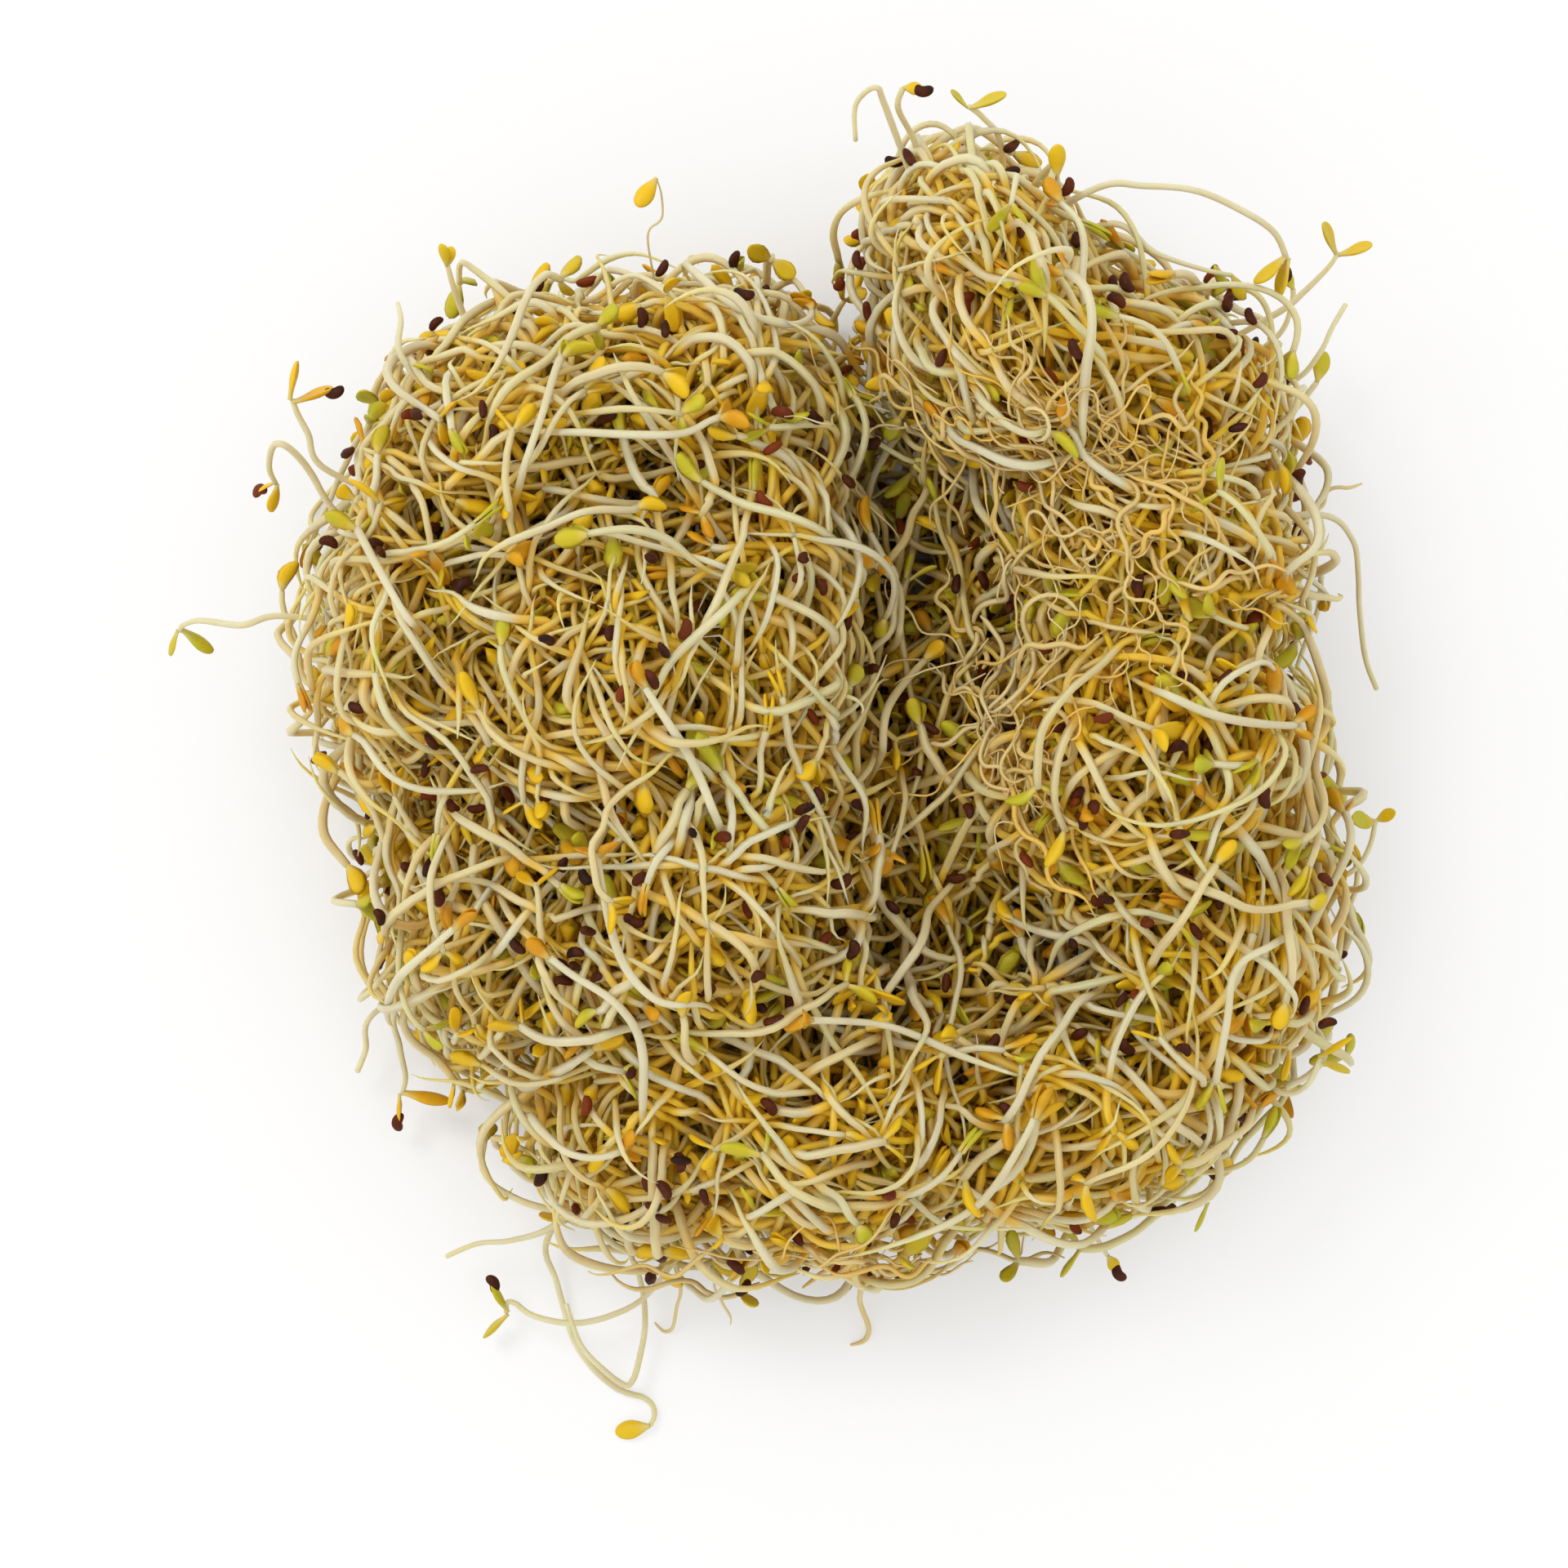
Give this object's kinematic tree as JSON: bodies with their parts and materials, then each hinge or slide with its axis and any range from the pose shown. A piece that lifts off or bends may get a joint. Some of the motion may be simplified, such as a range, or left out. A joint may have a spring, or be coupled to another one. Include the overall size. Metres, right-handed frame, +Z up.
{
  "type": "alfalfa sprout clump",
  "caption": "Loose tangled clump of fresh alfalfa sprouts with pale stems, seed leaves, roots and dark seed hulls, lying on a flat surface.",
  "frame": {"origin": "on the surface the clump lies on, below the middle of its outline", "axes": "+Z up from the surface; +Y along the longer side of the outline, towards the end with the raised fold; +X to the right when seen from above with +Y away"},
  "size_m": [0.1334, 0.147, 0.053],
  "materials": {
    "tangle": "springy mat of moist stems with small gaps between them, satin",
    "stem": "moist, slightly translucent pale plant flesh, satin to glossy",
    "leaf": "thick soft seed leaf, mustard to olive green, satin",
    "root": "fine soft root, tan, matt",
    "hull": "papery seed coat, dark brown to nearly black, wet satin"
  },
  "bodies": {
    "root": {"upper_left_tuft": "tangle", "upper_middle_tuft": "tangle", "left_tuft": "tangle", "middle_tuft": "tangle", "inner_ridge_tuft": "tangle", "lower_left_tuft": "tangle", "centre_tuft": "tangle", "bottom_left_tuft": "tangle", "bottom_tuft": "tangle", "bottom_right_tuft": "tangle", "lower_right_tuft": "tangle", "right_tuft": "tangle", "right_shoulder_tuft": "tangle", "flap_tuft": "tangle", "flap_end_tuft": "tangle", "valley_tuft": "tangle", "seedling_left_reach": "stem", "seedling_shoulder_pair": "stem", "seedling_drooping_hook": "stem", "seedling_green_tip": "stem", "seedling_bare_spike": "stem", "seedling_flap_loop": "stem", "seedling_flap_hull_stem": "stem", "seedling_flap_pair": "stem", "seedling_flap_bud": "stem", "seedling_long_loop": "stem", "seedling_side_stem": "stem", "seedling_open_pair": "stem", "seedling_dark_tip": "stem", "seedling_pale_point": "stem", "seedling_corner_leaf": "stem", "seedling_right_arch": "stem", "seedling_right_reach": "stem", "seedling_low_pair": "stem", "seedling_bottom_fork": "stem", "seedling_dark_toe": "stem", "seedling_long_hook": "stem", "seedling_folded_stem": "stem", "seedling_low_arc": "stem", "seedling_west_point": "stem", "seedling_brown_foot": "stem", "seedling_left_spike": "stem", "seedling_crown_root": "root", "seedling_curled_root": "root", "seedling_root_tail_east": "root", "seedling_root_tail_middle": "root", "seedling_root_tail_west": "root", "hull_shoulder_pair": "hull", "hull_drooping_hook": "hull", "hull_flap_hull_stem": "hull", "hull_dark_tip": "hull", "hull_dark_toe": "hull", "hull_low_arc": "hull", "hull_brown_foot": "hull"}
  },
  "joints": []
}
